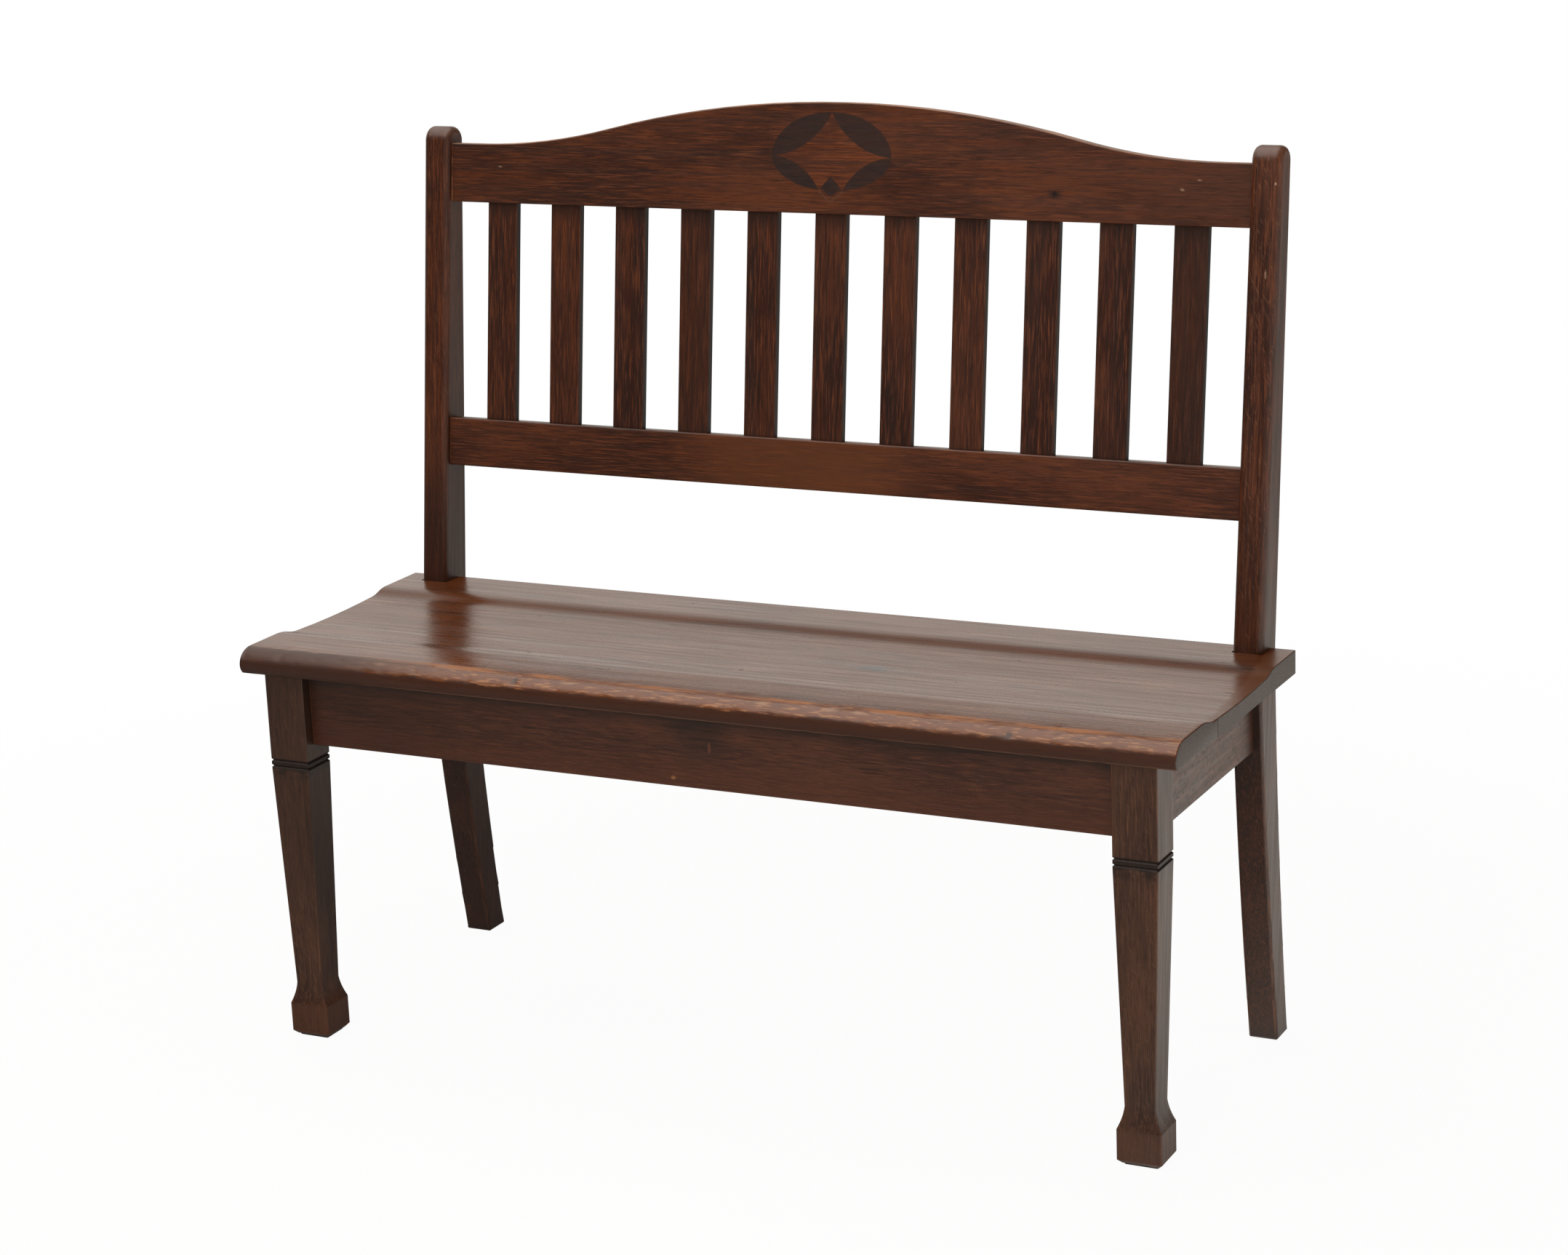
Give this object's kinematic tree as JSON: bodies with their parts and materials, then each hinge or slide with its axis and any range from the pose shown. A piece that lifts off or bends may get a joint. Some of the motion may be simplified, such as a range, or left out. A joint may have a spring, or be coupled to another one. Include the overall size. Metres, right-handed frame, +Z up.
{
  "type": "slat-back settle",
  "caption": "Small oak settle with a dished plank seat, a raked slat back under a humped crest rail with an oval inlay, and tapered block-footed front legs.",
  "frame": {"origin": "on the floor, below the middle of the overall bounding box", "axes": "+X along the seat to the right of someone who faces the front, +Y to the back, +Z up; the front faces -Y"},
  "size_m": [1.077, 0.4338, 0.9992],
  "materials": {
    "oak_seat": "dark stained oak, worn to orange-brown at the nose, semi-gloss",
    "oak_slats": "dark stained oak, satin",
    "oak_rails": "dark stained oak, satin",
    "oak_posts": "dark stained quarter-sawn oak, satin",
    "oak_aprons": "dark stained oak, satin",
    "block_wood": "unstained softwood",
    "dowel_wood": "beech, unfinished",
    "inlay_light": "orange-brown figured wood, flush",
    "inlay_dark": "near-black stained wood, flush",
    "inlay_line": "fine pale stringing",
    "screw_steel": "plain steel, dulled",
    "glide_fibre": "dark hard fibre"
  },
  "bodies": {
    "root": {"apron_screws": "screw_steel", "corner_block_front_left": "block_wood", "corner_block_front_right": "block_wood", "corner_block_rear_left": "block_wood", "corner_block_rear_right": "block_wood", "crest_rail": "oak_rails", "foot_glide_left": "glide_fibre", "foot_glide_right": "glide_fibre", "front_apron": "oak_aprons", "front_leg_left": "oak_posts", "front_leg_right": "oak_posts", "inlay_chevron": "inlay_line", "inlay_kite": "inlay_dark", "inlay_leaf_lower_left": "inlay_dark", "inlay_leaf_lower_right": "inlay_dark", "inlay_leaf_upper_left": "inlay_dark", "inlay_leaf_upper_right": "inlay_dark", "inlay_star": "inlay_light", "lower_back_rail": "oak_rails", "rear_apron": "oak_aprons", "rear_post_left": "oak_posts", "rear_post_right": "oak_posts", "seat_board_front": "oak_seat", "seat_board_middle": "oak_seat", "seat_board_rear": "oak_seat", "seat_dowels": "dowel_wood", "seat_screws": "screw_steel", "side_apron_left": "oak_aprons", "side_apron_right": "oak_aprons", "slat_01": "oak_slats", "slat_02": "oak_slats", "slat_03": "oak_slats", "slat_04": "oak_slats", "slat_05": "oak_slats", "slat_06": "oak_slats", "slat_07": "oak_slats", "slat_08": "oak_slats", "slat_09": "oak_slats", "slat_10": "oak_slats", "slat_11": "oak_slats"}
  },
  "joints": []
}
